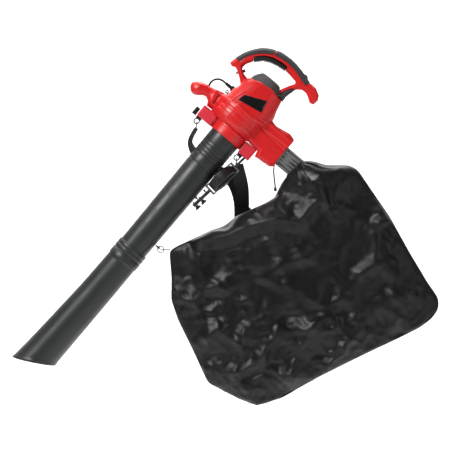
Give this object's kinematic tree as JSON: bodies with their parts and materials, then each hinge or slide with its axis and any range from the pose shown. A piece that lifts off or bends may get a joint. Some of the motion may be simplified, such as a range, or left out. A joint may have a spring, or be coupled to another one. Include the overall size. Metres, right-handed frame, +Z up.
{
  "type": "leaf blower",
  "caption": "Electric leaf blower and vacuum with a two-part nozzle tube, arched handle, outlet duct with a hanging collection bag, shoulder strap and swivelling support wheel.",
  "frame": {"origin": "centre of the arched handle's grip, where the hand holds it", "axes": "+Z up as it hangs from the hand, +X across towards the bag, -Y the side with the name plate"},
  "size_m": [1.1895, 0.1854, 0.9968],
  "materials": {
    "housing_plastic": "semi-gloss moulded red",
    "lug_plastic": "semi-gloss light red",
    "tube_plastic": "satin charcoal",
    "grip_rubber": "fine grained",
    "black_plastic": "satin black",
    "vent_plastic": "satin dark grey",
    "adapter_plastic": "satin mid grey",
    "steel": "brushed",
    "copper_winding": "enamelled windings",
    "wheel_plastic": "satin black",
    "webbing": "woven polyester webbing",
    "bag_nylon": "coated nylon",
    "lead_rubber": "flexible lead"
  },
  "bodies": {
    "housing": {"housing_shell_near": "housing_plastic", "housing_shell_far": "housing_plastic", "tube_socket": "housing_plastic", "upper_lug": "lug_plastic", "lower_lug": "lug_plastic", "vent_cap": "vent_plastic", "grip_front": "grip_rubber", "grip_rear": "grip_rubber", "rear_boot": "grip_rubber", "name_plate": "black_plastic", "strain_relief": "lead_rubber", "cord_retainer": "black_plastic", "upper_tube": "tube_plastic", "lower_tube": "tube_plastic", "outlet_adapter": "adapter_plastic", "front_bearing": "steel", "rear_bearing": "steel", "motor_stator": "steel", "brush_holder_upper": "black_plastic", "brush_holder_lower": "black_plastic", "switch_module": "black_plastic", "arm_pivot_bolt": "steel", "strap_knob": "black_plastic", "strap_eye_upper": "steel", "strap_eye_lower": "steel", "snap_hook_upper": "black_plastic", "snap_hook_lower": "black_plastic", "shoulder_strap": "webbing", "strap_slider": "black_plastic", "bag": "bag_nylon", "bag_hanger_lug": "black_plastic", "bag_hook": "steel", "bag_elastic": "webbing", "bag_tether": "webbing", "tether_toggle": "black_plastic", "power_lead": "lead_rubber", "power_plug": "lead_rubber", "housing_screw_1": "steel", "housing_screw_2": "steel", "housing_screw_3": "steel", "housing_screw_4": "steel"},
    "rotor": {"impeller": "black_plastic", "impeller_nut": "steel", "rotor_shaft": "steel", "armature": "copper_winding", "commutator": "copper_winding", "cooling_fan": "black_plastic"},
    "trigger": {"trigger": "black_plastic"},
    "lock_button": {"lock_button": "black_plastic"},
    "speed_dial": {"speed_dial": "black_plastic"},
    "mode_lever": {"mode_lever": "housing_plastic"},
    "wheel_arm": {"wheel_arm": "steel", "wheel_axle": "steel", "arm_post_1": "black_plastic", "arm_post_2": "black_plastic"},
    "support_wheel": {"support_wheel": "wheel_plastic"},
    "arm_knob_1": {"arm_knob_1": "black_plastic"},
    "arm_knob_2": {"arm_knob_2": "black_plastic"}
  },
  "joints": [
    {"name": "rotor_spin", "type": "hinge", "parent": "housing", "child": "rotor", "pos_m": [-0.08485, 0, -0.11363], "axis": [0.6414, 0, 0.7672], "continuous": true},
    {"name": "trigger_squeeze", "type": "hinge", "parent": "housing", "child": "trigger", "pos_m": [-0.08822, 0, 0.01172], "axis": [0, -1, 0], "range_deg": [0, 3.5], "stiffness_Nm_per_rad": 0.8, "springref_deg": -11.46},
    {"name": "lock_press", "type": "slide", "parent": "housing", "child": "lock_button", "axis": [-0.9265, 0, -0.3762], "range_m": [0, 0.004], "stiffness_N_per_m": 400, "springref_m": -0.003},
    {"name": "speed_turn", "type": "hinge", "parent": "housing", "child": "speed_dial", "pos_m": [0.0522, 0, -0.04638], "axis": [0, -1, 0], "range_deg": [0, 270]},
    {"name": "mode_turn", "type": "hinge", "parent": "housing", "child": "mode_lever", "pos_m": [-0.1903, -0.024, -0.08542], "axis": [0, -1, 0], "range_deg": [-6, 12]},
    {"name": "arm_swing", "type": "hinge", "parent": "housing", "child": "wheel_arm", "pos_m": [-0.10045, -0.012, -0.25701], "axis": [0, -1, 0], "range_deg": [0, 24]},
    {"name": "wheel_spin", "type": "hinge", "parent": "wheel_arm", "child": "support_wheel", "pos_m": [-0.1748, -0.012, -0.32683], "axis": [-0.672, 0.1908, 0.7156], "continuous": true},
    {"name": "knob_1_turn", "type": "hinge", "parent": "wheel_arm", "child": "arm_knob_1", "pos_m": [-0.2353, -0.012, -0.38365], "axis": [0.6845, 0, -0.729], "continuous": true},
    {"name": "knob_2_turn", "type": "hinge", "parent": "wheel_arm", "child": "arm_knob_2", "pos_m": [-0.25134, -0.012, -0.39871], "axis": [0.6845, 0, -0.729], "continuous": true}
  ]
}
